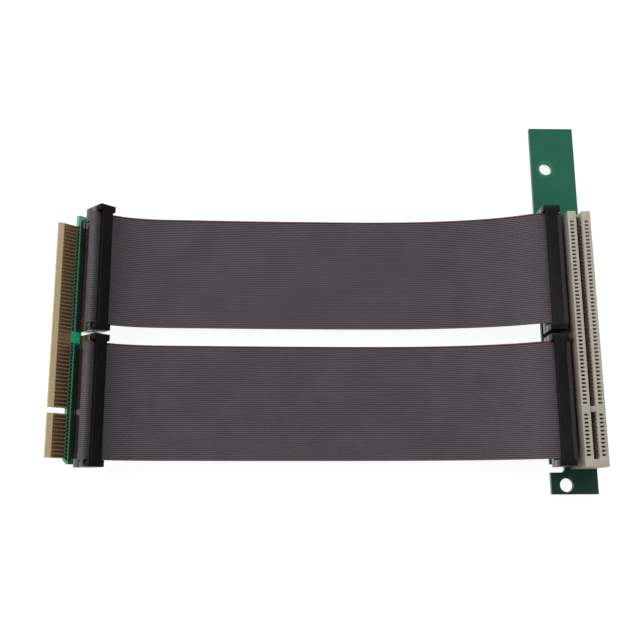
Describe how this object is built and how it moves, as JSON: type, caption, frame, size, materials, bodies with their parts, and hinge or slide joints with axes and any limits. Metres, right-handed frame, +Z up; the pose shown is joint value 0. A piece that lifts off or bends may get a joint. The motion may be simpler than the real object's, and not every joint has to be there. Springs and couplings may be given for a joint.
{
  "type": "riser cable",
  "caption": "Flexible extender for a card slot: a keyed edge card and a slot board with bolt tabs, joined by two folded flat ribbon cables in crimped sockets.",
  "frame": {"origin": "on the table, under the middle of the object's box", "axes": "+X from the edge card to the slot board, +Y along the boards towards the long bolt tab, +Z up out of the slot"},
  "size_m": [0.1806, 0.1298, 0.0187],
  "materials": {
    "riser_laminate": "satin solder mask",
    "card_laminate": "satin solder mask with gilt contacts",
    "slot_plastic": "moulded, faintly glossy",
    "connector_plastic": "moulded black",
    "cable_vinyl": "ribbed vinyl"
  },
  "bodies": {
    "root": {"riser_board": "riser_laminate", "slot_housing": "slot_plastic", "edge_card": "card_laminate", "riser_head_pin_header": "connector_plastic", "riser_head_socket_body": "connector_plastic", "riser_head_cable_cover": "connector_plastic", "riser_head_strain_relief": "connector_plastic", "riser_foot_pin_header": "connector_plastic", "riser_foot_socket_body": "connector_plastic", "riser_foot_cable_cover": "connector_plastic", "riser_foot_strain_relief": "connector_plastic", "card_head_pin_header": "connector_plastic", "card_head_socket_body": "connector_plastic", "card_head_cable_cover": "connector_plastic", "card_head_strain_relief": "connector_plastic", "card_foot_pin_header": "connector_plastic", "card_foot_socket_body": "connector_plastic", "card_foot_cable_cover": "connector_plastic", "card_foot_strain_relief": "connector_plastic", "ribbon_cable_head": "cable_vinyl", "ribbon_cable_foot": "cable_vinyl"}
  },
  "joints": []
}
